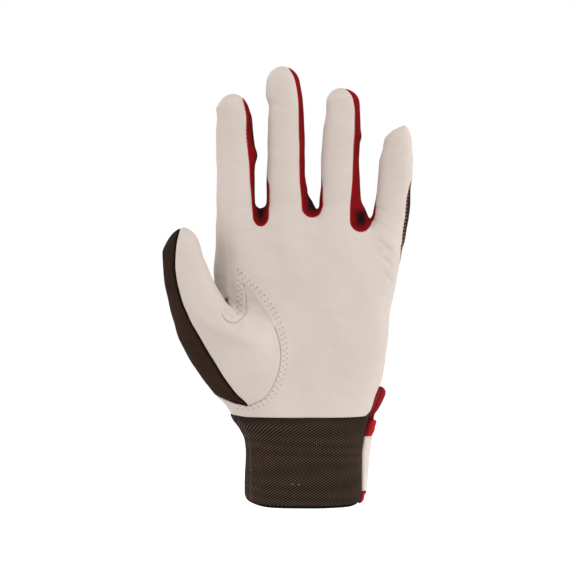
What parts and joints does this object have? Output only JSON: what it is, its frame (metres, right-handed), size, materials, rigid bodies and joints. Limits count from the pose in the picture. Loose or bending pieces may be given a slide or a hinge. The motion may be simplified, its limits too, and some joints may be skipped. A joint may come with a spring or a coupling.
{
  "type": "leather work glove, left hand, filled as when worn",
  "caption": "Work glove of off-white leather with red strips between the fingers, a brown fabric back, a knitted cuff and a wrist strap.",
  "frame": {"origin": "centre of the wrist opening at the foot of the knitted cuff", "axes": "+Z from the wrist to the fingertips, -Y out of the palm, +X from the thumb side to the little-finger side"},
  "size_m": [0.1397, 0.06, 0.2472],
  "materials": {
    "grain_leather": "satin, fine grain, off-white",
    "red_fabric": "matt knitted, deep red",
    "brown_fabric": "matt stretch fabric, dark brown",
    "brown_knit": "matt diagonal knit, dark brown",
    "white_strap": "matt, off-white",
    "red_tape": "woven tape, bright red"
  },
  "bodies": {
    "root": {"palm_leather": "grain_leather", "thumb_leather": "grain_leather", "thumb_back": "brown_fabric", "hand_back": "brown_fabric", "fourchette_index_middle": "red_fabric", "fourchette_middle_ring": "red_fabric", "fourchette_ring_little": "red_fabric", "cuff": "brown_knit", "wrist_strap": "white_strap", "strap_binding": "red_tape", "pull_tab": "red_tape"}
  },
  "joints": []
}
